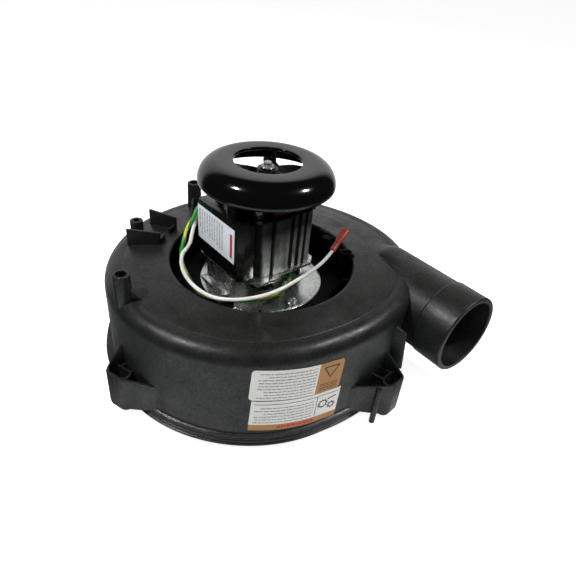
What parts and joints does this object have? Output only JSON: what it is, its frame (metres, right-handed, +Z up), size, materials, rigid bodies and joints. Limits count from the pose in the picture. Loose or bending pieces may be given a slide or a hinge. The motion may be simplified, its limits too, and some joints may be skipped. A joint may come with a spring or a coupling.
{
  "type": "draft inducer blower",
  "caption": "Furnace draft-inducer blower: black scroll housing with side outlet pipe, wheel inside, small shaded-pole motor with cooling fan and shroud on top.",
  "frame": {"origin": "on the motor axis, on the bottom plane of the base cover, at the centre of the inlet", "axes": "+Z up along the motor axis towards the cooling fan, +X along the outlet pipe, out of its mouth"},
  "size_m": [0.2964, 0.2876, 0.1852],
  "materials": {
    "housing_plastic": "moulded black plastic, satin, fine grain",
    "cover_plastic": "moulded black plastic, satin",
    "wheel_plastic": "moulded black plastic",
    "fan_plastic": "moulded black plastic, half gloss",
    "black_gloss_plastic": "high-gloss black plastic",
    "black_laminations": "glossy black varnish over stacked steel sheets",
    "zinc_plate": "zinc-coated sheet steel, smooth and bright",
    "bare_steel": "plain bright steel",
    "rotor_steel": "machined steel laminations",
    "copper_winding": "varnished copper wire",
    "bronze": "sintered bronze",
    "tinned_brass": "tinned brass",
    "seal_rubber": "soft black rubber",
    "white_insulation": "white wire insulation",
    "green_insulation": "green wire insulation with a yellow stripe",
    "red_insulation": "red moulded insulation",
    "green_screw": "green ground screw",
    "motor_label_film": "white film with plain printed bars",
    "wall_label_film": "white and ochre film with plain printed bars and symbols"
  },
  "bodies": {
    "housing": {"upper_housing": "housing_plastic", "base_cover": "cover_plastic", "housing_seal": "seal_rubber", "inlet_gasket": "seal_rubber", "mounting_disc": "zinc_plate", "shaft_seal": "seal_rubber", "lower_bracket": "zinc_plate", "lower_bearing": "bronze", "stator_stack": "black_laminations", "upper_bracket": "bare_steel", "upper_bearing": "bronze", "lead_cover": "black_gloss_plastic", "motor_label": "motor_label_film", "fan_shroud": "black_gloss_plastic", "white_lead": "white_insulation", "terminal_sleeve": "red_insulation", "terminal_socket": "tinned_brass", "ground_lead": "green_insulation", "ground_terminal": "tinned_brass", "ground_screw": "green_screw", "upper_wall_label": "wall_label_film", "lower_wall_label": "wall_label_film", "cover_screw_1": "bare_steel", "cover_screw_2": "bare_steel", "cover_screw_3": "bare_steel", "cover_screw_4": "bare_steel", "cover_screw_5": "bare_steel", "disc_screw_1": "bare_steel", "disc_screw_2": "bare_steel", "disc_screw_3": "bare_steel", "through_bolt_1": "bare_steel", "bolt_nut_1": "bare_steel", "through_bolt_2": "bare_steel", "bolt_nut_2": "bare_steel", "through_bolt_3": "bare_steel", "bolt_nut_3": "bare_steel", "through_bolt_4": "bare_steel", "bolt_nut_4": "bare_steel", "coil_right": "copper_winding", "coil_rear": "copper_winding", "coil_left": "copper_winding", "coil_front": "copper_winding"},
    "rotor": {"motor_shaft": "bare_steel", "rotor_core": "rotor_steel", "blower_wheel": "wheel_plastic", "wheel_nut": "bare_steel", "heat_slinger": "zinc_plate", "cooling_fan": "fan_plastic", "push_nut": "bare_steel"}
  },
  "joints": [
    {"name": "rotor_spin", "type": "hinge", "parent": "housing", "child": "rotor", "pos_m": [0, 0, 0.12], "axis": [0, 0, 1], "continuous": true}
  ]
}
